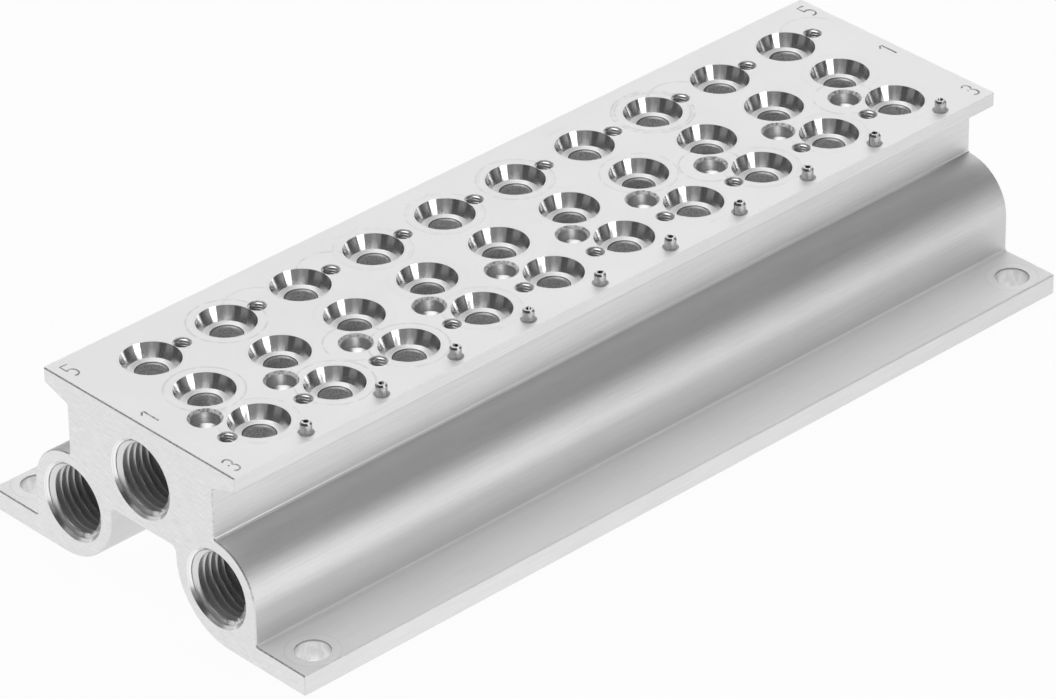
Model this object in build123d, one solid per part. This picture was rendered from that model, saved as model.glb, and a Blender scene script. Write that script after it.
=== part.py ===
"""Ten-station manifold rail: an extruded aluminium body with three galleries, machined
valve seats and pressed-in locating pins. Millimetres, +Z up, +X along the rail, origin
at the middle of the underside."""
import os
from math import radians, tan

from build123d import *

# Stations along the rail
station_count = 10
station_pitch = 16.0
end_margin = 14.0

# Extruded section
plate_width = 46.0
plate_edge_height = 2.7
plate_underside_slope = 18.0
web_wall = 2.0
tube_wall = 2.6
foot_width = 76.0
foot_thickness = 3.9
leg_wall = 3.1
channel_height = 13.8
channel_straight = 1.6
channel_roof_wall = 2.5
channel_corner_radius = 1.0
inner_corner_radius = 0.45
outer_corner_radius = 0.4
edge_break = 0.2

# Galleries and the threaded ports at their ends, G 1/4
gallery_diameter = 11.4
port_thread_diameter = 13.16
port_thread_length = 12.0
port_chamfer = 0.52
port_runout = 1.0
supply_port_cover = 4.14

# Valve seats: rows 5, 1 and 3, side by side across the plate
row_spacing = 13.0
seat_rim_diameter = 10.18
seat_floor_diameter = 8.12
seat_depth = 2.4
seat_bore_diameter = 5.0
seat_bore_chamfer = 0.32

# Blind hole beside each middle seat
spot_diameter = 4.94
spot_chamfer = 0.45
spot_depth = 2.5
drill_point_angle = 118.0
spot_offset_x = -5.55
spot_offset_y = -6.5

# Valve screw holes, M3, one at each outer seat
screw_thread_diameter = 3.0
screw_chamfer = 0.12
screw_hole_depth = 6.5
screw_offset_x = 6.7
screw_offset_y = 13.1

# Locating pins, slotted spring pins in reamed holes through the plate's edge
pin_diameter = 2.0
pin_bore_diameter = 0.96
pin_length = 5.0
pin_projection = 2.0
pin_slit_width = 0.22
pin_chamfer_height = 0.38
pin_chamfer_width = 0.22
pin_fit_clearance = 0.01
pin_countersink = 0.37
pin_offset_x = 3.05
pin_edge_distance = 2.3
pin_slit_angles = (110.0, 15.0, 80.0, 35.0, -11.0, 95.0, 162.0, 95.0, 162.0, 60.0)

# Holes in the feet
foot_hole_diameter = 6.0
foot_hole_end_distance = 5.8
foot_hole_edge_distance = 4.5

# Places that follow from the sizes above
rail_length = (station_count - 1) * station_pitch + 2 * end_margin
first_station_x = -(station_count - 1) * station_pitch / 2
port_radius = port_thread_diameter / 2
plate_half = plate_width / 2
foot_half = foot_width / 2
web_half = row_spacing + seat_bore_diameter / 2 + web_wall
exhaust_y = web_half
exhaust_z = foot_thickness + port_radius
tube_radius = port_radius + tube_wall
leg_inner = exhaust_y - port_radius - leg_wall
leg_round = channel_height - channel_straight
supply_z = channel_height + channel_roof_wall + port_radius
rail_height = supply_z + port_radius + supply_port_cover
plate_drop = (plate_half - web_half) * tan(radians(plate_underside_slope))
pin_y = -(plate_half - pin_edge_distance)


def station_x(index):
    """Centre of a station along the rail."""
    return first_station_x + index * station_pitch


def turned(points, axis):
    """Solid of revolution of a closed outline about one axis."""
    return revolve(make_face(Polyline(*points, close=True)), axis)


def rounded_section():
    """The extruded section: plate, web, two tubes that merge into legs, and the feet."""
    tube_side = exhaust_y + tube_radius
    leg_foot_y = leg_inner + leg_round
    top = (0, rail_height)
    plate_corner = (plate_half, rail_height)
    plate_lower = (plate_half, rail_height - plate_edge_height)
    web_top = (web_half, rail_height - plate_edge_height - plate_drop)
    web_bottom = (web_half, exhaust_z + tube_radius)
    tube_outside = (tube_side, exhaust_z)
    foot_inner = (tube_side, foot_thickness)
    foot_upper = (foot_half, foot_thickness)
    foot_lower = (foot_half, 0)
    leg_start = (leg_foot_y, 0)
    leg_end = (leg_inner, leg_round)
    channel_corner = (leg_inner, channel_height)
    channel_top = (0, channel_height)

    half = Polyline(top, plate_corner, plate_lower, web_top, web_bottom)
    half += RadiusArc(web_bottom, tube_outside, tube_radius)
    half += Polyline(tube_outside, foot_inner, foot_upper, foot_lower, leg_start)
    half += RadiusArc(leg_start, leg_end, leg_round)
    half += Polyline(leg_end, channel_corner, channel_top)
    section = make_face(half + mirror(half, Plane.YZ))

    rounds = (
        (outer_corner_radius, (plate_lower, foot_upper, foot_lower)),
        (inner_corner_radius, (web_top, web_bottom, foot_inner)),
        (channel_corner_radius, (channel_corner,)),
    )
    for radius, corners in rounds:
        for y, z in corners:
            for side in (y, -y):
                corner = section.vertices().sort_by_distance((side, z, 0))[0]
                section = fillet(corner, radius)
    return section


def extruded_body():
    """The section drawn out to the rail's length, with its end faces deburred."""
    body = extrude(Plane.YZ * rounded_section(), rail_length / 2, both=True)
    ends = body.faces().filter_by(Plane.YZ)
    return chamfer(ends.edges(), edge_break)


def gallery(y, z):
    """One through gallery with its threaded port and rim chamfer at each end."""
    half_length = rail_length / 2
    thread_start = half_length - port_chamfer
    thread_end = half_length - port_thread_length
    steps = (
        (half_length, port_radius + port_chamfer),
        (thread_start, port_radius),
        (thread_end, port_radius),
        (thread_end - port_runout, gallery_diameter / 2),
    )
    near = [(-x, radius) for x, radius in steps]
    far = list(reversed(steps))
    outline = [(-half_length, 0), *near, *far, (half_length, 0)]
    return Pos(0, y, z) * turned(outline, Axis.X)


def seat(depth):
    """Conical valve seat and the bore that drops from its floor into a gallery."""
    bore_radius = seat_bore_diameter / 2
    outline = (
        (0, 0, 0),
        (seat_rim_diameter / 2, 0, 0),
        (seat_floor_diameter / 2, 0, -seat_depth),
        (bore_radius + seat_bore_chamfer, 0, -seat_depth),
        (bore_radius, 0, -seat_depth - seat_bore_chamfer),
        (bore_radius, 0, -depth),
        (0, 0, -depth),
    )
    return turned(outline, Axis.Z)


def spot():
    """Blind hole with a rim chamfer, a straight wall and a drill-point bottom."""
    radius = spot_diameter / 2
    point_height = radius / tan(radians(drill_point_angle / 2))
    outline = (
        (0, 0, 0),
        (radius + spot_chamfer, 0, 0),
        (radius, 0, -spot_chamfer),
        (radius, 0, -spot_depth),
        (0, 0, -spot_depth - point_height),
    )
    return turned(outline, Axis.Z)


def screw_hole():
    """Threaded blind hole at the thread's outer diameter, with a rim chamfer."""
    radius = screw_thread_diameter / 2
    outline = (
        (0, 0, 0),
        (radius + screw_chamfer, 0, 0),
        (radius, 0, -screw_chamfer),
        (radius, 0, -screw_hole_depth),
        (0, 0, -screw_hole_depth),
    )
    return turned(outline, Axis.Z)


def pin_hole():
    """Reamed hole through the plate's edge, countersunk at the top."""
    radius = pin_diameter / 2 + pin_fit_clearance
    bottom = -plate_edge_height - plate_drop
    outline = (
        (0, 0, 0),
        (radius + pin_countersink, 0, 0),
        (radius, 0, -pin_countersink),
        (radius, 0, bottom),
        (0, 0, bottom),
    )
    return turned(outline, Axis.Z)


def foot_holes():
    """Four mounting holes, one near each corner of the feet."""
    radius = foot_hole_diameter / 2
    x = rail_length / 2 - foot_hole_end_distance
    y = foot_half - foot_hole_edge_distance
    hole = extrude(Circle(radius), foot_thickness)
    return [Pos(sx * x, sy * y, 0) * hole for sx in (-1, 1) for sy in (-1, 1)]


def manifold_rail():
    """The rail: the extruded body with its galleries and all its machined holes."""
    cutters = [
        gallery(0, supply_z),
        gallery(exhaust_y, exhaust_z),
        gallery(-exhaust_y, exhaust_z),
    ]
    cutters += foot_holes()
    for index in range(station_count):
        at = Pos(station_x(index), 0, rail_height)
        cutters.append(at * seat(rail_height - supply_z))
        for side in (-1, 1):
            cutters.append(at * Pos(0, side * row_spacing, 0) * seat(rail_height - exhaust_z))
            cutters.append(at * Pos(side * screw_offset_x, side * screw_offset_y, 0) * screw_hole())
        cutters.append(at * Pos(spot_offset_x, spot_offset_y, 0) * spot())
        cutters.append(at * Pos(pin_offset_x, pin_y, 0) * pin_hole())
    return extruded_body() - cutters


def spring_pin():
    """Slotted tube with a lead-in chamfer at each end, standing on its lower end."""
    outer = pin_diameter / 2
    inner = pin_bore_diameter / 2
    lead = outer - pin_chamfer_width
    outline = (
        (inner, 0, 0),
        (lead, 0, 0),
        (outer, 0, pin_chamfer_height),
        (outer, 0, pin_length - pin_chamfer_height),
        (lead, 0, pin_length),
        (inner, 0, pin_length),
    )
    slit = Pos(outer / 2, 0, pin_length / 2) * Box(outer, pin_slit_width, pin_length)
    return turned(outline, Axis.Z) - slit


def locating_pin(index):
    """The spring pin of one station, turned so that its slit faces its own way."""
    slit_angle = pin_slit_angles[index % len(pin_slit_angles)]
    bottom = rail_height + pin_projection - pin_length
    place = Pos(station_x(index) + pin_offset_x, pin_y, bottom)
    return place * Rot(0, 0, slit_angle) * spring_pin()


os.makedirs("parts", exist_ok=True)
export_step(manifold_rail(), "parts/manifold_rail.step")
for number in range(station_count):
    export_step(locating_pin(number), f"parts/locating_pin_{number + 1:02d}.step")
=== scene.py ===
from math import cos, pi, radians, sin, tau

import bpy
from mathutils import Euler, Matrix, Vector


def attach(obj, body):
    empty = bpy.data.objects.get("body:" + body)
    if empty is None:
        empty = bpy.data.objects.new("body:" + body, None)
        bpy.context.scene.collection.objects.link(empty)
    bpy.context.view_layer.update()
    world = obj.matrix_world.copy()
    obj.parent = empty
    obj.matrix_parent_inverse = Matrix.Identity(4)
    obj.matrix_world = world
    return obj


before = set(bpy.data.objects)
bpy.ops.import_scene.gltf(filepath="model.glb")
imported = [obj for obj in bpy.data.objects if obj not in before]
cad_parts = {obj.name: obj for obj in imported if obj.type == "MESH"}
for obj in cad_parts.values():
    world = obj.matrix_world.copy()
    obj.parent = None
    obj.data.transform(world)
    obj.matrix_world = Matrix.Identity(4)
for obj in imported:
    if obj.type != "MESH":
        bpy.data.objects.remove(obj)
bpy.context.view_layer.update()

# The look of a ten-station manifold rail. Lengths here are millimetres until they reach a
# mesh, a lamp or the camera, which are in metres, in the frame of the CAD model.
MM = 0.001

# Places and sizes of the CAD model that the materials and the added pieces follow. A spot
# is the blind hole beside a middle seat.
STATION_COUNT = 10
STATION_PITCH = 16.0
FIRST_STATION_X = -72.0
ROW_SPACING = 13.0
RAIL_END = 86.0
RAIL_TOP = 33.6
FOOT_TOP = 3.9
SUPPLY_Z = 22.88
EXHAUST_Y = 17.5
EXHAUST_Z = 10.48
PORT_INNER_END = 72.5
PORT_CONE_DEPTH = 0.52
PORT_CONE_RADIUS = 7.1
SEAT_RIM = 5.09
SEAT_BORE = 2.5
SEAT_DEPTH = 2.4
BORE_CHAMFER = 0.32
SPOT_AT = (-5.55, -6.5)
SPOT_RIM = 2.94
SPOT_CHAMFER = 0.45
SPOT_WALL_DEPTH = 2.5
SPOT_DEPTH = 4.1
SCREW_AT = (6.7, 13.1)
SCREW_RIM = 1.62
SCREW_DEPTH = 6.6
FOOT_HOLE_AT = (80.2, 33.5)
FOOT_HOLE_RADIUS = 3.0

# Limits of the areas that the materials tell apart. A reach is measured from the middle.
STATIONS_REACH = 80.0
SEATS_REACH = 19.0
RINGS_REACH = 20.0
BORES_REACH = 16.0
BORES_LOWEST = 12.0
TUBE_TOP = (15.0, 20.2)
WEB_EDGE = (20.3, 29.7)
WEB_SIDE = 18.2
WEB_CORNER = (19.5, 20.5)
FOOT_CORNER = (3.91, 4.39)
FOOT_CORNER_ACROSS = (26.6, 27.2)

# How near to a face counts as on it
NEAR = 0.01

# Threads: wall and crest radius, pitch, radius of the rim cone at the face, length
PORT_THREAD = dict(wall=6.58, crest=5.72, pitch=1.337, rim=PORT_CONE_RADIUS, length=11.9)
SCREW_THREAD = dict(wall=1.5, crest=1.23, pitch=0.5, rim=SCREW_RIM, length=5.4)

# Rings left on the plate: station, place across the plate, offset along it, radius, strength
WITNESS_MARKS = (
    (0, 0.0, 0.0, 6.6, 0.9),
    (1, 13.0, 0.0, 6.6, 0.9),
    (1, -13.0, 0.0, 6.6, 0.9),
    (2, -13.0, 0.0, 6.6, 0.9),
    (5, 13.0, 0.0, 6.6, 0.7),
    (6, 0.0, 0.0, 6.6, 0.6),
    (7, 13.0, 0.0, 7.1, 1.0),
    (7, 13.0, 0.0, 6.5, 0.9),
    (2, -6.5, -5.55, 5.35, 0.8),
    (7, -6.5, -5.55, 5.35, 0.9),
    (9, -6.5, -5.55, 5.35, 0.8),
)

# Arcs round the outer side of screw holes in the row of seats 5: station and strength
SCREW_MARKS = ((1, 0.6), (2, 0.9), (7, 0.8), (9, 0.6))
SCREW_MARK_RADIUS = 5.6

# One thread ridge across a pitch: place along the axis and height from wall to crest
RIDGE = (
    (-0.47, -0.04), (-0.43, 0.03), (-0.36, 0.14), (-0.23, 0.46), (-0.10, 0.86), (-0.05, 0.96), (0.0, 1.0),
    (0.05, 0.96), (0.10, 0.86), (0.23, 0.46), (0.36, 0.14), (0.43, 0.03), (0.47, -0.04),
)

# Row numbers: middles along and across the plate, stroke width, and the stroke's lower
# and upper face from the plate's top
NUMBER_ENDS = (-83.55, 83.65)
NUMBER_ROWS = (("5", 19.25), ("1", -0.1), ("3", -19.6))
STROKE_WIDTH = 0.33
STROKE_LOW = -0.02
STROKE_HIGH = 0.012

# Camera fitted to the seats in the photograph: place in metres, turn about X, Y and Z in
# degrees, lens and sensor width in millimetres
CAMERA_AT = (-0.642954, -0.686304, 0.594571)
CAMERA_TURN = (58.111392, 0.710262, -43.492556)
CAMERA_LENS = 226.887
CAMERA_SENSOR = 36.0


class Field:
    """A number that varies over a surface, built from math nodes with plain operators."""

    def __init__(self, tree, socket):
        self.tree = tree
        self.socket = socket

    def math(self, operation, *others):
        node = self.tree.nodes.new("ShaderNodeMath")
        node.operation = operation
        for slot, value in zip(node.inputs, (self, *others)):
            if isinstance(value, Field):
                self.tree.links.new(value.socket, slot)
            else:
                slot.default_value = value
        return Field(self.tree, node.outputs[0])

    def __add__(self, other):
        return self.math("ADD", other)

    def __sub__(self, other):
        return self.math("SUBTRACT", other)

    def __mul__(self, other):
        return self.math("MULTIPLY", other)

    def __truediv__(self, other):
        return self.math("DIVIDE", other)

    def __gt__(self, other):
        return self.math("GREATER_THAN", other)

    def __lt__(self, other):
        return self.math("LESS_THAN", other)

    def __abs__(self):
        return self.math("ABSOLUTE")

    def least(self, other):
        return self.math("MINIMUM", other)

    def most(self, other):
        return self.math("MAXIMUM", other)

    def wrapped(self, half):
        """The field brought into one period, from minus half to half."""
        return self.math("WRAP", -half, half)

    def between(self, low, high):
        """One where the field lies between two values, else zero."""
        return (self > low) * (self < high)

    def ramp(self, start, end, low=0.0, high=1.0):
        """Smooth step from low at start to high at end."""
        node = self.tree.nodes.new("ShaderNodeMapRange")
        node.interpolation_type = "SMOOTHSTEP"
        self.tree.links.new(self.socket, node.inputs["Value"])
        limits = (("From Min", start), ("From Max", end), ("To Min", low), ("To Max", high))
        for name, value in limits:
            node.inputs[name].default_value = value
        return Field(self.tree, node.outputs[0])

    def window(self, start, end, soft):
        """One between start and end, falling to zero over the soft width outside."""
        return self.ramp(start - soft, start) * self.ramp(end, end + soft, 1.0, 0.0)

    def ring(self, radius, width):
        """A soft line where the field has the value radius."""
        return abs(self - radius).ramp(0.0, width, 1.0, 0.0)


def distance(a, b):
    """Length of the vector (a, b)."""
    return (a * a + b * b).math("SQRT")


class Surface:
    """A material's node tree, with the coordinates and shaders that the materials share."""

    def __init__(self, name):
        self.material = bpy.data.materials.new(name)
        self.material.use_nodes = True
        self.tree = self.material.node_tree
        self.tree.nodes.clear()
        self.output = self.tree.nodes.new("ShaderNodeOutputMaterial")
        self.coordinates = self.tree.nodes.new("ShaderNodeTexCoord")
        # Place on the object in millimetres, and the direction that the surface faces
        self.x, self.y, self.z = self.split(self.coordinates.outputs["Object"], 1.0 / MM)
        self.nx, self.ny, self.nz = self.split(self.coordinates.outputs["Normal"])
        self.point = self.vector(self.x, self.y, self.z)

    def link(self, source, target):
        self.tree.links.new(source.socket if isinstance(source, Field) else source, target)

    def split(self, socket, scale=1.0):
        """The three parts of a vector as fields."""
        node = self.tree.nodes.new("ShaderNodeVectorMath")
        node.operation = "SCALE"
        node.inputs["Scale"].default_value = scale
        self.link(socket, node.inputs[0])
        parts = self.tree.nodes.new("ShaderNodeSeparateXYZ")
        self.link(node.outputs[0], parts.inputs[0])
        return [Field(self.tree, part) for part in parts.outputs]

    def vector(self, x, y, z):
        """Three fields or numbers as one vector."""
        node = self.tree.nodes.new("ShaderNodeCombineXYZ")
        for slot, value in zip(node.inputs, (x, y, z)):
            if isinstance(value, Field):
                self.link(value, slot)
            else:
                slot.default_value = value
        return node.outputs[0]

    def noise(self, vector, scale, detail, roughness):
        node = self.tree.nodes.new("ShaderNodeTexNoise")
        node.inputs["Scale"].default_value = scale
        node.inputs["Detail"].default_value = detail
        node.inputs["Roughness"].default_value = roughness
        self.link(vector, node.inputs["Vector"])
        return Field(self.tree, node.outputs["Fac"])

    def chance(self, vector):
        """A steady random number for each cell."""
        node = self.tree.nodes.new("ShaderNodeTexWhiteNoise")
        node.noise_dimensions = "3D"
        self.link(vector, node.inputs["Vector"])
        return Field(self.tree, node.outputs["Value"])

    def mix(self, field):
        """A colour mix node, led by a field from 0 to 1."""
        node = self.tree.nodes.new("ShaderNodeMix")
        node.data_type = "RGBA"
        self.link(field, node.inputs["Factor"])
        return node

    def grey(self, field, start, end):
        """Grey that runs from start, where the field is 0, to end, where it is 1."""
        node = self.mix(field)
        node.inputs["A"].default_value = (start, start, start, 1.0)
        node.inputs["B"].default_value = (end, end, end, 1.0)
        return node.outputs["Result"]

    def tinted(self, colour, field, shade):
        """A colour drawn towards a grey shade by a field from 0 to 1."""
        node = self.mix(field)
        self.link(colour, node.inputs["A"])
        node.inputs["B"].default_value = (shade, shade, shade, 1.0)
        return node.outputs["Result"]

    def bump(self, height, depth):
        """A normal from a height field, with its depth in millimetres."""
        node = self.tree.nodes.new("ShaderNodeBump")
        node.inputs["Strength"].default_value = 1.0
        node.inputs["Distance"].default_value = depth * MM
        self.link(height, node.inputs["Height"])
        return node.outputs["Normal"]

    def metal(self, colour, roughness, normal, metallic=1.0, anisotropic=0.0, tangent=None):
        """A metal surface. The tangent runs along the grooves of a turned one."""
        node = self.tree.nodes.new("ShaderNodeBsdfPrincipled")
        node.inputs["Metallic"].default_value = metallic
        node.inputs["Anisotropic"].default_value = anisotropic
        self.link(colour, node.inputs["Base Color"])
        if isinstance(roughness, Field):
            self.link(roughness, node.inputs["Roughness"])
        else:
            node.inputs["Roughness"].default_value = roughness
        self.link(normal, node.inputs["Normal"])
        if tangent is not None:
            node.inputs["Anisotropic Rotation"].default_value = 0.25
            self.link(tangent, node.inputs["Tangent"])
        return node.outputs[0]

    def over(self, base, shader, mask):
        """A shader laid over another where the mask is one."""
        node = self.tree.nodes.new("ShaderNodeMixShader")
        self.link(mask, node.inputs[0])
        self.link(base, node.inputs[1])
        self.link(shader, node.inputs[2])
        return node.outputs[0]

    def finish(self, shader):
        self.link(shader, self.output.inputs["Surface"])
        return self.material


class RailSurface(Surface):
    """The rail's surface, with fields that say where on the rail a point lies."""

    def __init__(self):
        super().__init__("machined_aluminium_rail")
        self.along = abs(self.x)
        self.across = abs(self.y)
        self.depth = self.z * -1.0 + RAIL_TOP
        self.station = self.x - FIRST_STATION_X
        self.at_stations = self.along < STATIONS_REACH

        # Distances from the axes of the machined holes
        seat_x = self.station.wrapped(STATION_PITCH / 2)
        seat_y = self.y.wrapped(ROW_SPACING / 2)
        self.from_seat = distance(seat_x, seat_y)
        spot_x = (self.station - SPOT_AT[0]).wrapped(STATION_PITCH / 2)
        self.from_spot = distance(spot_x, self.y - SPOT_AT[1])
        left_x = (self.station + SCREW_AT[0]).wrapped(STATION_PITCH / 2)
        right_x = (self.station - SCREW_AT[0]).wrapped(STATION_PITCH / 2)
        from_left_screw = distance(left_x, self.y + SCREW_AT[1])
        from_right_screw = distance(right_x, self.y - SCREW_AT[1])
        self.from_screw = from_left_screw.least(from_right_screw)
        self.from_foot_hole = distance(self.along - FOOT_HOLE_AT[0], self.across - FOOT_HOLE_AT[1])
        from_supply = distance(self.y, self.z - SUPPLY_Z)
        from_exhaust = distance(self.across - EXHAUST_Y, self.z - EXHAUST_Z)
        self.from_port = from_supply.least(from_exhaust)

        # Directions that run round a seat and round a blind hole
        self.round_seat = self.vector(seat_y * -1.0, seat_x, 0.0)
        self.round_spot = self.vector(self.y * -1.0 + SPOT_AT[1], spot_x, 0.0)

        # Numbers of the station and of the row that a point is nearest to
        self.cell = (self.station / STATION_PITCH).math("ROUND")
        self.row = (self.y / ROW_SPACING).math("ROUND")
        self.spot_cell = ((self.station - SPOT_AT[0]) / STATION_PITCH).math("ROUND")
        self.clouds = self.noise(self.coordinates.outputs["Object"], 60.0, 3.0, 0.55)


def extruded_skin(s):
    """Fine lines along the rail, with painted shade on the tube, foot tops painted lighter as painted
    light, and smooth inner corners in that lighter colour as a painted highlight.
    """
    lines = s.noise(s.vector(s.x * 0.02, s.y, s.z), 5.0, 3.0, 0.6)
    fine = s.noise(s.vector(s.x * 0.05, s.y, s.z), 24.0, 2.0, 0.6)
    streaks = (lines * 0.5 + fine * 0.3 + s.clouds * 0.2).ramp(0.3, 0.7)
    colour = s.grey(streaks, 0.79, 0.90)
    # Painted shade: a little darker on the tube's top beside the web, and low down on its wall
    painted_shade_tube_top = s.nz.ramp(0.80, 0.95) * s.z.between(*TUBE_TOP)
    colour = s.tinted(colour, painted_shade_tube_top * 0.6, 0.60)
    painted_shade_low_wall = s.z.ramp(13.0, 9.5) * (s.z > FOOT_TOP + 0.1) * (abs(s.nx) < 0.5)
    colour = s.tinted(colour, painted_shade_low_wall * 0.35, 0.60)
    drawn = s.bump(lines * 0.7 + fine * 0.3, depth=0.010)
    skin = s.metal(colour, lines * 0.06 + 0.52, drawn)

    # Painted light: the foot tops are lighter than the rest of the skin; the one on the -Y side is matt,
    # and the other one has some gloss
    painted_light_pale = s.grey(streaks, 0.90, 0.98)
    matt = s.metal(painted_light_pale, 0.35, drawn, metallic=0.0)
    satin = s.metal(painted_light_pale, 0.62, drawn, metallic=0.6)
    on_foot = (s.nz > 0.7) * s.z.between(0.2, FOOT_TOP + 0.02)
    skin = s.over(skin, s.over(satin, matt, s.y < 0.0), on_foot)

    # Painted highlight: the inner corners take the foot tops' lighter colour
    smooth = s.metal(painted_light_pale, 0.36, s.bump(lines, depth=0.002))
    corner = s.over(smooth, matt, s.z < EXHAUST_Z)
    by_web = s.z.between(*WEB_CORNER) * (s.across < WEB_SIDE)
    by_foot = s.z.between(*FOOT_CORNER) * s.across.between(*FOOT_CORNER_ACROSS)
    return s.over(skin, corner, (by_web + by_foot) * s.nz.between(0.05, 0.98))


def witness_rings(s):
    """Faint rings that tools and valves have left on the plate, worn away in places."""
    chance = s.chance(s.vector(s.cell, s.row, 3.0))
    round_seats = s.from_seat.ring(6.62, 0.34) * 0.5 + s.from_seat.ring(6.1, 0.22) * 0.3
    rings = round_seats * chance.ramp(0.35, 0.95) * s.at_stations * (s.across < RINGS_REACH)
    for number, place_y, offset_x, radius, strength in WITNESS_MARKS:
        mark_x = s.station - (number * STATION_PITCH + offset_x)
        rings = rings.most(distance(mark_x, s.y - place_y).ring(radius, 0.32) * strength)
    outer_side = s.y.ramp(12.0, 16.0)
    for number, strength in SCREW_MARKS:
        mark_x = s.station - (number * STATION_PITCH + SCREW_AT[0])
        arc_line = distance(mark_x, s.y - SCREW_AT[1]).ring(SCREW_MARK_RADIUS, 0.3)
        rings = rings.most(arc_line * outer_side * strength)
    worn = s.noise(s.point, 0.6, 2.0, 0.5).ramp(0.3, 0.6)
    return rings * worn


def milled_plate(s):
    """Top of the plate: nearly matt, with faint clouds and witness rings."""
    swirl = s.noise(s.point, 9.0, 4.0, 0.7)
    rings = witness_rings(s)
    round_rims = s.from_seat.ring(5.36, 0.16) * s.at_stations * (s.across < RINGS_REACH)
    colour = s.grey((s.clouds * 0.5 + swirl * 0.5).ramp(0.3, 0.7), 0.935, 0.98)
    colour = s.tinted(colour, rings * 0.42 + round_rims * 0.10, 0.55)
    plate = s.metal(colour, 0.60, s.bump(swirl * 0.3 - rings * 0.7, depth=0.004), metallic=0.75)
    return plate, s.depth < NEAR


def sawn_end(s):
    """End faces: cut across, with short scratches in two directions."""
    long_cuts = s.noise(s.vector(s.x, s.y * 0.12 + s.z * 0.01, s.z * 2.0 - s.y * 0.2), 3.0, 4.0, 0.65)
    cross_cuts = s.noise(s.vector(s.x, s.y + s.z * 0.9, s.z * 0.16 - s.y * 0.14), 2.0, 3.0, 0.6)
    cuts = (long_cuts * 0.78 + cross_cuts * 0.22).ramp(0.3, 0.7)
    end = s.metal(s.grey(cuts, 0.77, 0.93), 0.40, s.bump(cuts, depth=0.012))
    return end, (s.along > RAIL_END - NEAR) * (s.from_port > PORT_CONE_RADIUS - NEAR)


def deburred_edge(s):
    """Deburred edges at the ends, painted dark as painted shade: those that face up and the -Y side's web.
    """
    burr = s.noise(s.point, 2.5, 3.0, 0.6)
    edge = s.metal(s.grey(burr.ramp(0.3, 0.7), 0.55, 0.85), 0.45, s.bump(burr, depth=0.02))
    on_chamfer = (s.along > RAIL_END - 0.21) * abs(s.nx).between(0.3, 0.9)
    on_web = (s.ny < -0.3) * s.z.between(*WEB_EDGE) * (s.across < WEB_SIDE)
    outside_ports = s.from_port > PORT_CONE_RADIUS + 0.05
    return edge, on_chamfer * outside_ports * on_web.most(s.nz > 0.15)


def valve_seat(s):
    """Conical seats, turned bright, and their flat floors."""
    turns = s.noise(s.vector(s.from_seat * 3.0, s.z * 3.0, s.cell), 3.0, 3.0, 0.6)
    turned = s.bump(turns, depth=0.0006)
    wall = s.metal(s.grey(turns, 0.86, 0.95), 0.17, turned, anisotropic=0.8, tangent=s.round_seat)
    flat = s.metal(s.grey(turns, 0.93, 1.0), 0.3, s.bump(turns, depth=0.003), metallic=0.25)
    in_seat = (s.from_seat < SEAT_RIM + NEAR) * s.depth.between(NEAR, SEAT_DEPTH + 0.02)
    in_seat = in_seat * s.at_stations * (s.across < SEATS_REACH)
    return s.over(wall, flat, s.nz > 0.9), in_seat


def bore_lip(s):
    """Chamfer where a seat's bore begins: a dark outer and a light inner line."""
    grain = s.noise(s.point, 2.6, 3.0, 0.65)
    colour = s.grey(s.depth < SEAT_DEPTH + 0.14, 0.95, 0.30)
    lip = s.metal(colour, 0.35, s.bump(grain, depth=0.02), anisotropic=0.4, tangent=s.round_seat)
    in_lip = s.depth.between(SEAT_DEPTH + 0.005, SEAT_DEPTH + BORE_CHAMFER + NEAR)
    in_lip = in_lip * (s.from_seat < SEAT_BORE + BORE_CHAMFER + NEAR)
    return lip, in_lip * s.at_stations * (s.across < SEATS_REACH)


def drilled_wall(s):
    """Wall of a drilled hole: rough, with irregular rings and specks."""
    drill = s.noise(s.vector(s.from_seat, s.z * 2.2, s.cell * 3.0 + s.row), 2.2, 4.0, 0.7)
    specks = s.noise(s.point, 3.6, 3.0, 0.7)
    colour = s.grey((drill * 0.35 + specks * 0.65).ramp(0.38, 0.60), 0.58, 1.0)
    drilled = s.bump(drill, depth=0.03)
    return s.metal(colour, 0.36, drilled, metallic=0.2, anisotropic=0.4, tangent=s.round_seat)


def seat_bore(s, wall):
    """Bores from the seats down to their galleries."""
    in_bore = (s.from_seat < SEAT_BORE + 0.06) * (s.depth > SEAT_DEPTH + 0.3)
    in_bore = in_bore * (s.from_port > 5.4) * (s.z > BORES_LOWEST)
    return wall, in_bore * s.at_stations * (s.across < BORES_REACH)


def screw_hole(s, wall):
    """Holes for the valve screws."""
    in_hole = (s.from_screw < SCREW_RIM + NEAR) * s.depth.between(NEAR, SCREW_DEPTH)
    return wall, in_hole * s.across.between(11.0, 15.0)


def blind_hole(s):
    """Blind holes: a turned wall, a drill point painted darker as painted shade, and a torn rim."""
    turns = s.noise(s.vector(s.from_spot * 5.0, s.z * 5.0, s.spot_cell), 2.0, 3.0, 0.6)
    colour = s.grey(turns.ramp(0.3, 0.7), 0.68, 0.95)
    # Painted shade: darker at the drill point, deep in the hole
    colour = s.tinted(colour, (s.depth > SPOT_WALL_DEPTH + 0.02) * 0.4, 0.40)
    turned = s.bump(turns, depth=0.006)
    wall = s.metal(colour, 0.30, turned, metallic=0.82, anisotropic=0.7, tangent=s.round_spot)
    torn = s.noise(s.point, 1.5, 3.0, 0.6).ramp(0.35, 0.60)
    rim = s.metal(s.grey(torn, 0.42, 1.0), 0.35, s.bump(torn, depth=0.01), metallic=0.4)
    in_hole = (s.from_spot < SPOT_RIM + NEAR) * s.depth.between(NEAR, SPOT_DEPTH)
    return s.over(wall, rim, s.depth < SPOT_CHAMFER + NEAR), in_hole * (s.along < RAIL_END - 2.0)


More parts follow.
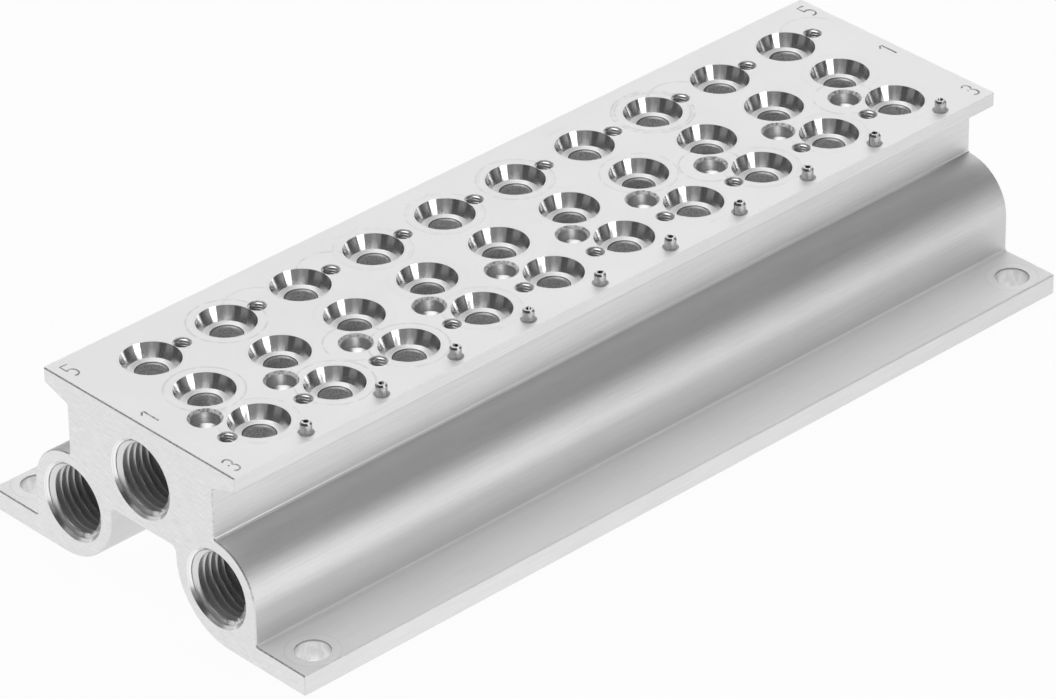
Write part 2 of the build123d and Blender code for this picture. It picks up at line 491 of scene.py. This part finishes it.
def port_layers(s):
    """Galleries, painted dark as painted shade, the ports' walls and the cones at their rims, turned about
    the rail's length.
    """
    turns = s.noise(s.vector(s.x * 2.5, s.from_port * 2.5, 0.0), 2.0, 3.0, 0.6)
    turned = s.bump(turns, depth=0.006)
    # The galleries are painted dark, a painted shade inside the rail
    gallery = s.metal(s.grey(turns, 0.42, 0.62), 0.35, s.bump(turns, depth=0.02))
    wall = s.metal(s.grey(turns, 0.72, 0.90), 0.22, turned)
    cone = s.metal(s.grey(turns.ramp(0.3, 0.7), 0.84, 0.99), 0.22, turned)
    in_gallery = s.from_port < 5.9
    in_port = (s.from_port < PORT_THREAD["wall"] + 0.04) * (s.along > PORT_INNER_END)
    in_cone = (s.from_port < PORT_CONE_RADIUS + 0.02) * (s.along > RAIL_END - PORT_CONE_DEPTH - NEAR)
    return (gallery, in_gallery), (wall, in_port), (cone, in_cone)


def foot_face(s):
    """Spot-faced rings round the foot holes."""
    ring = s.from_foot_hole.ring(4.55, 0.22) * (s.z > FOOT_TOP - 0.1)
    turns = s.noise(s.vector(s.from_foot_hole * 4.0, s.z, s.along * 0.05), 2.0, 3.0, 0.6)
    # Like the foot tops, the face is painted lighter, a painted light
    colour = s.tinted(s.grey(turns, 0.92, 0.98), ring * 0.16, 0.4)
    turned = s.bump(turns - ring * 1.5, depth=0.004)
    satin = s.metal(colour, 0.62, turned, metallic=0.6)
    matt = s.metal(colour, 0.35, turned, metallic=0.0)
    face = (s.from_foot_hole < 4.5) * (s.z > FOOT_TOP - 0.05)
    return s.over(satin, matt, s.y < 0.0), face.most(ring > 0.01)


def foot_hole(s):
    """Walls of the foot holes, with painted shade just under the upper edge."""
    burrs = s.noise(s.vector(s.x, s.y, s.z * 0.5), 0.9, 3.0, 0.6).ramp(0.3, 0.7)
    painted_shade_under_rim = s.z.ramp(FOOT_TOP - 0.5, FOOT_TOP - 0.2)
    colour = s.tinted(s.grey(burrs, 0.70, 0.88), painted_shade_under_rim * 0.8, 0.25)
    in_hole = (s.from_foot_hole < FOOT_HOLE_RADIUS + 0.02) * (s.z < FOOT_TOP - 0.005)
    return s.metal(colour, 0.35, s.bump(burrs, depth=0.01)), in_hole * (abs(s.nz) < 0.5)


def rail_material():
    """Aluminium of the rail: the extruded skin, with the machined faces laid over it."""
    s = RailSurface()
    gallery, port, cone = port_layers(s)
    wall = drilled_wall(s)
    shader = extruded_skin(s)
    layers = (
        foot_face(s),
        foot_hole(s),
        milled_plate(s),
        deburred_edge(s),
        gallery,
        seat_bore(s, wall),
        port,
        cone,
        valve_seat(s),
        bore_lip(s),
        blind_hole(s),
        screw_hole(s, wall),
        sawn_end(s),
    )
    for layer, mask in layers:
        shader = s.over(shader, layer, mask)
    return s.finish(shader)


def pin_material():
    """Spring steel, a little darker than the rail, with drawn lines down the pin."""
    s = Surface("spring_steel_pin")
    drawn = s.noise(s.vector(s.x, s.y, s.z * 0.12), 8.0, 3.0, 0.6)
    spots = s.noise(s.point, 3.0, 4.0, 0.7)
    colour = s.grey((drawn * 0.5 + spots * 0.5).ramp(0.3, 0.7), 0.40, 0.78)
    return s.finish(s.metal(colour, 0.23, s.bump(drawn * 0.6 + spots * 0.4, depth=0.010)))


def port_thread_material():
    """Cut thread of the ports: bright above, and painted darker in the lower half past the rim, a painted
    shade.
    """
    s = Surface("cut_port_thread")
    marks = s.noise(s.point, 3.0, 4.0, 0.65)
    cut = s.bump(marks, depth=0.008)
    bright = s.metal(s.grey(marks, 0.66, 0.86), 0.32, cut)
    painted_shade_thread = s.metal(s.grey(marks, 0.42, 0.60), 0.5, cut, metallic=0.5)
    in_exhaust = abs(s.y) > EXHAUST_Y / 2
    above_axis = s.z - SUPPLY_Z + in_exhaust * (SUPPLY_Z - EXHAUST_Z)
    # Painted shade over the lower half, a little way in from the rim
    lower = above_axis.ramp(1.5, -2.5) * abs(s.x).ramp(RAIL_END - 1.0, RAIL_END - 2.0)
    return s.finish(s.over(bright, painted_shade_thread, lower))


def screw_thread_material():
    """Cut thread of the screw holes: bright flanks with fine tool marks."""
    s = Surface("cut_screw_thread")
    marks = s.noise(s.point, 3.0, 4.0, 0.65)
    return s.finish(s.metal(s.grey(marks, 0.68, 0.94), 0.28, s.bump(marks, depth=0.008)))


def stroke_material():
    """Bottom of the engraved strokes."""
    s = Surface("engraved_stroke")
    grain = s.noise(s.point, 1.1, 3.0, 0.6).ramp(0.35, 0.65)
    return s.finish(s.metal(s.grey(grain, 0.16, 0.52), 0.5, s.bump(grain, depth=0.01)))


def add_mesh(name, vertices, faces, material, slot, smooth=True):
    """A piece of the rail from millimetre points, riding on the one body."""
    mesh = bpy.data.meshes.new(name)
    mesh.from_pydata([tuple(c * MM for c in v) for v in vertices], [], faces)
    mesh.validate()
    mesh.polygons.foreach_set("use_smooth", [smooth] * len(mesh.polygons))
    mesh.materials.append(material)
    piece = bpy.data.objects.new(name, mesh)
    bpy.context.scene.collection.objects.link(piece)
    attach(piece, "root")


def joined(parts):
    """Many meshes as one list of points and faces."""
    vertices, faces = [], []
    for more_vertices, more_faces in parts:
        start = len(vertices)
        vertices.extend(more_vertices)
        faces.extend(tuple(start + i for i in face) for face in more_faces)
    return vertices, faces


def placed(part, origin, axes):
    """A mesh moved so that its own axes lie along the given ones."""
    ax, ay, az = (Vector(a) for a in axes)
    origin = Vector(origin)
    vertices, faces = part
    return [tuple(origin + ax * x + ay * y + az * z) for x, y, z in vertices], faces


def thread_ridge(wall, crest, pitch, rim, length, per_turn):
    """Closed right-hand ridge of an internal thread. The axis is +Z into the hole, with
    z = 0 at the face. The ridge is cut off by the 45 degree cone of the rim, sits a little
    way into the wall, and fades out over the last part of a turn."""
    tall = wall - crest
    sunk = 0.05 * tall
    cone_depth = 1.5 * (rim - wall)
    first_centre = -0.03 * pitch
    face_gap = 0.02
    count = int(length / pitch * per_turn)
    fade = per_turn * 0.3
    vertices, faces = [], []
    for step in range(count + 1):
        angle = tau * step / per_turn
        centre = pitch * step / per_turn + first_centre
        share = min(1.0, (count - step) / fade)
        for offset, height in RIDGE:
            z = min(max(centre + offset * pitch, face_gap), length)
            radius = wall - tall * height * (share if height > 0 else 1.0)
            cone = 0.0
            if z < cone_depth:
                cone = rim - z + (sunk if rim - z > wall else 0.0)
            radius = min(max(radius, cone), max(wall + sunk, cone))
            vertices.append((radius * cos(angle), radius * sin(angle), z))
    size = len(RIDGE)
    for step in range(count):
        for k in range(size):
            a = step * size + k
            b = step * size + (k + 1) % size
            faces.append((a, b, b + size, a + size))
    faces.append(tuple(range(size)))
    faces.append(tuple(reversed(range(count * size, (count + 1) * size))))
    return vertices, faces


def port_threads(material):
    """Threads in the three ports at each end."""
    ridge = thread_ridge(**PORT_THREAD, per_turn=72)
    parts = []
    for y, z in ((0.0, SUPPLY_Z), (EXHAUST_Y, EXHAUST_Z), (-EXHAUST_Y, EXHAUST_Z)):
        for inward in (1, -1):
            axes = ((0, inward, 0), (0, 0, 1), (inward, 0, 0))
            parts.append(placed(ridge, (-inward * RAIL_END, y, z), axes))
    add_mesh("port_threads", *joined(parts), material, "machined_aluminium")


def screw_threads(material):
    """Threads in the two screw holes of each station."""
    ridge = thread_ridge(**SCREW_THREAD, per_turn=28)
    downward = ((1, 0, 0), (0, -1, 0), (0, 0, -1))
    parts = []
    for index in range(STATION_COUNT):
        x = FIRST_STATION_X + index * STATION_PITCH
        for side in (-1, 1):
            at = (x + side * SCREW_AT[0], side * SCREW_AT[1], RAIL_TOP)
            parts.append(placed(ridge, at, downward))
    add_mesh("screw_threads", *joined(parts), material, "machined_aluminium")


def arc(cx, cy, radius_x, radius_y, start, end, steps):
    """Points on an ellipse between two angles in degrees."""
    angles = [radians(start + (end - start) * i / steps) for i in range(steps + 1)]
    return [(cx + radius_x * cos(a), cy + radius_y * sin(a)) for a in angles]


def number_lines():
    """Strokes of the row numbers in a box 1.8 wide and 3.8 high about its middle."""
    five_bowl = arc(0.0, -0.75, 0.87, 1.05, 130, -118, 14)
    three_bowls = arc(-0.02, 0.98, 0.68, 0.84, 150, -58, 12) + arc(-0.10, -0.85, 0.76, 0.95, 62, -140, 14)
    return {
        "5": [[(0.80, 1.78), (-0.62, 1.85), (-0.58, 0.10)] + five_bowl],
        "1": [[(-0.68, 1.08), (0.06, 1.92)], [(0.36, 1.92), (0.33, -1.80)]],
        "3": [three_bowls, [(-0.62, 0.14), (-0.34, 0.14)]],
    }


def stroke(points, width, low, high):
    """A flat closed ribbon along a line of points."""
    left, right = [], []
    for i, point in enumerate(points):
        before = points[max(i - 1, 0)]
        after = points[min(i + 1, len(points) - 1)]
        dx, dy = after[0] - before[0], after[1] - before[1]
        size = (dx * dx + dy * dy) ** 0.5
        ox, oy = -dy / size * width / 2, dx / size * width / 2
        left.append((point[0] + ox, point[1] + oy))
        right.append((point[0] - ox, point[1] - oy))
    count = len(points)
    flat = left + right
    vertices = [(x, y, low) for x, y in flat] + [(x, y, high) for x, y in flat]
    upper = 2 * count
    faces = []
    for a in range(count - 1):
        b, c, d = a + 1, count + a + 1, count + a
        faces.append((a, b, c, d))
        faces.append((upper + a, upper + d, upper + c, upper + b))
        faces.append((a, upper + a, upper + b, b))
        faces.append((d, c, upper + c, upper + d))
    last = count - 1
    faces.append((0, count, upper + count, upper))
    faces.append((last, upper + last, upper + count + last, count + last))
    return vertices, faces


def row_numbers(material):
    """The numbers of the three rows, at both ends of the plate."""
    upright = ((1, 0, 0), (0, 1, 0), (0, 0, 1))
    lines = number_lines()
    parts = []
    for x in NUMBER_ENDS:
        for number, y in NUMBER_ROWS:
            for line in lines[number]:
                ribbon = stroke(line, STROKE_WIDTH, STROKE_LOW, STROKE_HIGH)
                parts.append(placed(ribbon, (x, y, RAIL_TOP), upright))
    add_mesh("row_numbers", *joined(parts), material, "machined_aluminium", smooth=False)


def world_light():
    """Soft studio light far from the object, given by direction in degrees."""
    world = bpy.data.worlds.new("studio")
    world.use_nodes = True
    bpy.context.scene.world = world
    tree = world.node_tree
    tree.nodes.clear()
    output = tree.nodes.new("ShaderNodeOutputWorld")
    background = tree.nodes.new("ShaderNodeBackground")
    coordinates = tree.nodes.new("ShaderNodeTexCoord")
    parts = tree.nodes.new("ShaderNodeSeparateXYZ")
    tree.links.new(coordinates.outputs["Generated"], parts.inputs[0])
    x, y, z = (Field(tree, part) for part in parts.outputs)
    elevation = z.math("ARCSINE") * (180 / pi)
    # The azimuth is turned by 40 degrees, so that its seam lies beside the rail's far end
    azimuth = y.math("ARCTAN2", x) * (180 / pi)
    turned = (azimuth + 40.0).math("WRAP", 360.0, 0.0)

    def panel(sideways, upward, strength, soft=6.0, soft_up=6.0):
        """A bright patch between two turned azimuths and two elevations."""
        return turned.window(*sideways, soft) * elevation.window(*upward, soft_up) * strength

    dim_room = 0.08
    ceiling = elevation.ramp(60.0, 70.0) * 0.3
    # A round light overhead, a little behind the rail
    overhead = x * -0.024 + y * 0.137 + z * 0.990
    level = ceiling + dim_room + overhead.ramp(cos(radians(24.0)), cos(radians(18.0))) * 3.1
    # Opposite the camera, where the plate mirrors it
    level += panel((52.0, 102.0), (18.0, 56.0), 1.43)
    # An upright strip on the +Y side, for the white band in each seat
    level += panel((136.0, 157.0), (2.0, 30.0), 0.75, soft=4.0)
    # High, middle and low panels between the +Y side and the near end
    level += panel((174.0, 210.0), (48.0, 62.0), 1.0, soft_up=5.0)
    level += panel((164.0, 206.0), (24.0, 44.0), 0.22, soft=8.0)
    level += panel((194.0, 208.0), (-8.0, 14.0), 0.18, soft=8.0)
    # Between the -Y side and the far end, for the bright band down the front of the tube
    level += panel((338.0, 360.0), (14.0, 26.0), 1.1, soft_up=5.0)
    # A dim low wall behind the camera, with a lighter strip in it
    level += panel((240.0, 302.0), (-8.0, 18.0), 0.22, soft=4.0)
    level += panel((262.0, 270.0), (-8.0, 18.0), 0.10)
    tree.links.new(level.socket, background.inputs["Strength"])
    tree.links.new(background.outputs[0], output.inputs[0])


def side_softbox():
    """An upright lamp in front of the rail's pin side."""
    at = Vector((0.023, -0.489, 0.125))
    aim = Vector((0.023, 0.0, 0.125))
    width, height, radiance = 0.217, 0.25, 2.9
    data = bpy.data.lights.new("side_softbox", "AREA")
    data.shape = "RECTANGLE"
    data.size = width
    data.size_y = height
    data.energy = pi * width * height * radiance
    lamp = bpy.data.objects.new("side_softbox", data)
    lamp.location = at
    lamp.rotation_euler = (aim - at).to_track_quat("-Z", "Y").to_euler()
    bpy.context.scene.collection.objects.link(lamp)


def floor():
    """Pale floor that keeps the object's shadow and shows white to the camera."""
    s = Surface("pale_floor")
    grain = s.noise(s.coordinates.outputs["Object"], 400.0, 3.0, 0.6)
    diffuse = s.tree.nodes.new("ShaderNodeBsdfDiffuse")
    s.link(s.grey(grain, 0.90, 0.92), diffuse.inputs["Color"])
    white = s.tree.nodes.new("ShaderNodeEmission")
    white.inputs["Color"].default_value = (1.0, 1.0, 1.0, 1.0)
    path = s.tree.nodes.new("ShaderNodeLightPath")
    camera_ray, glossy_ray, through_ray = (
        Field(s.tree, path.outputs[f"Is {kind} Ray"]) for kind in ("Camera", "Glossy", "Transmission"))
    # Painted light: seen in reflections, the floor glows brighter towards the near end and dimmer towards
    # the far end
    painted_floor_falloff = s.x.ramp(-80.0, 180.0, 0.87, 0.66)
    seen = camera_ray * 0.95 + glossy_ray.most(through_ray) * painted_floor_falloff
    material = s.finish(s.over(diffuse.outputs[0], white.outputs[0], seen))
    mesh = bpy.data.meshes.new("studio_floor")
    corners, radius, drop = 64, 4.0, 0.00005
    rim = [(radius * cos(tau * i / corners), radius * sin(tau * i / corners), 0.0) for i in range(corners)]
    mesh.from_pydata(rim, [], [tuple(range(corners))])
    mesh.materials.append(material)
    ground = bpy.data.objects.new("studio_floor", mesh)
    ground.location.z = -drop
    bpy.context.scene.collection.objects.link(ground)


def camera():
    """The photograph's view."""
    data = bpy.data.cameras.new("photo_view")
    data.sensor_width = CAMERA_SENSOR
    data.lens = CAMERA_LENS
    data.clip_start = 0.05
    data.clip_end = 50.0
    viewer = bpy.data.objects.new("photo_view", data)
    turn = Euler([radians(angle) for angle in CAMERA_TURN])
    viewer.matrix_world = Matrix.LocRotScale(Vector(CAMERA_AT), turn, None)
    bpy.context.scene.collection.objects.link(viewer)
    bpy.context.scene.camera = viewer


def dress():
    """Materials on the CAD nodes."""
    rail, pin = rail_material(), pin_material()
    for name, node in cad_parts.items():
        node.material_slots[0].material = rail if name == "manifold_rail" else pin


bpy.context.scene.view_settings.view_transform = "Standard"
dress()
port_threads(port_thread_material())
screw_threads(screw_thread_material())
row_numbers(stroke_material())
world_light()
side_softbox()
floor()
camera()
